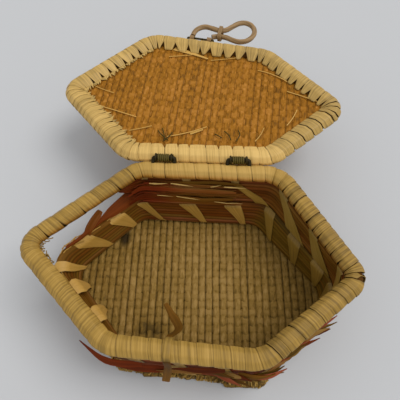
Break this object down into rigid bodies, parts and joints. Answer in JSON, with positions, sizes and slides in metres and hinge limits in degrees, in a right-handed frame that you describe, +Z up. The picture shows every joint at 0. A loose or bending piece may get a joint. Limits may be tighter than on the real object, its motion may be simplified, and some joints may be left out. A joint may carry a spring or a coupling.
{
  "type": "lidded straw basket",
  "caption": "Six-sided straw basket with leaf-wrapped rims, red and natural wall coils, thread hinges, a laid-open straw lid and a twisted closing loop.",
  "frame": {"origin": "on the table under the middle of the basket, on the flat underside of the floor straw at the middle", "axes": "+X along the hinge line to the right, +Y to the back, +Z up; the lid is drawn laid open at the back"},
  "size_m": [0.2175, 0.2875, 0.0626],
  "materials": {
    "floor_straw": "matte dry straw",
    "lid_straw": "matte dry straw",
    "leaf_wrap": "satin dry leaf",
    "pale_strip": "satin dry leaf",
    "red_leaf": "dyed dry leaf",
    "rim_core": "matte dry straw",
    "hinge_thread": "waxed thread",
    "straw_rope": "twisted straw"
  },
  "bodies": {
    "base": {"floor_straws": "floor_straw", "lower_coil_core": "red_leaf", "lower_coil_strip": "pale_strip", "upper_coil_core": "red_leaf", "upper_coil_strip": "pale_strip", "torn_strip": "red_leaf", "base_rim_core": "rim_core", "base_wrap_back": "leaf_wrap", "base_wrap_back_right": "leaf_wrap", "base_wrap_front_right": "leaf_wrap", "base_wrap_front": "leaf_wrap", "base_wrap_front_left": "leaf_wrap", "base_wrap_back_left": "leaf_wrap", "base_wrap_corners": "leaf_wrap", "front_tie": "leaf_wrap", "hinge_cord_left": "hinge_thread", "hinge_cord_right": "hinge_thread", "hinge_thread_left": "hinge_thread", "hinge_thread_right": "hinge_thread"},
    "lid": {"lid_straws": "lid_straw", "lid_rim_core": "rim_core", "lid_wrap_back": "leaf_wrap", "lid_wrap_back_right": "leaf_wrap", "lid_wrap_front_right": "leaf_wrap", "lid_wrap_front": "leaf_wrap", "lid_wrap_front_left": "leaf_wrap", "lid_wrap_back_left": "leaf_wrap", "lid_wrap_corners": "leaf_wrap", "hinge_eyes_left": "hinge_thread", "hinge_eyes_right": "hinge_thread", "loop_staple": "hinge_thread"},
    "closing_loop": {"loop_eye": "straw_rope", "closure_loop": "straw_rope", "loop_band": "straw_rope"}
  },
  "joints": [
    {"name": "lid_hinge", "type": "hinge", "parent": "base", "child": "lid", "pos_m": [0, 0.06655, 0.0595], "axis": [1, 0, 0], "range_deg": [0, 180]},
    {"name": "loop_swing", "type": "hinge", "parent": "lid", "child": "closing_loop", "pos_m": [-0.00705, 0.19141, 0.05365], "axis": [0.9871, -0.1604, 0], "range_deg": [-60, 5]}
  ]
}
